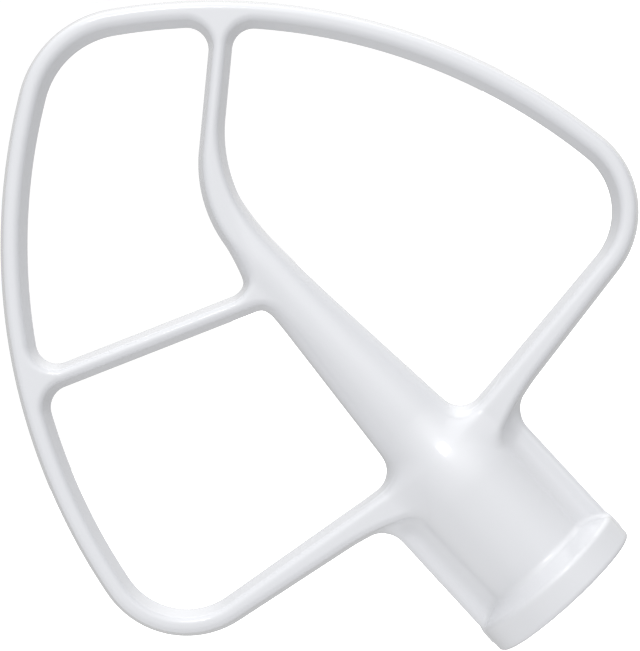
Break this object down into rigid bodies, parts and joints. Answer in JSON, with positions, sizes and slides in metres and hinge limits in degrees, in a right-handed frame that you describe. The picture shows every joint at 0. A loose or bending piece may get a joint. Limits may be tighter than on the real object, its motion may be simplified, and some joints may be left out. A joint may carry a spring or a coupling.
{
  "type": "stand mixer flat beater",
  "caption": "One-piece coated flat beater with an open heart-shaped rim, a slanted cross rib, a branching spine and a bayonet hub that slides onto a stand mixer's shaft.",
  "frame": {"origin": "centre of the hub's mouth, on the bore axis", "axes": "+Z along the bore axis out of the mouth, +X across the beater towards the cross rib, -Y towards the front"},
  "size_m": [0.125, 0.0316, 0.1397],
  "materials": {
    "coat": "gloss white coating on cast aluminium"
  },
  "bodies": {
    "root": {"flat_beater": "coat"}
  },
  "joints": []
}
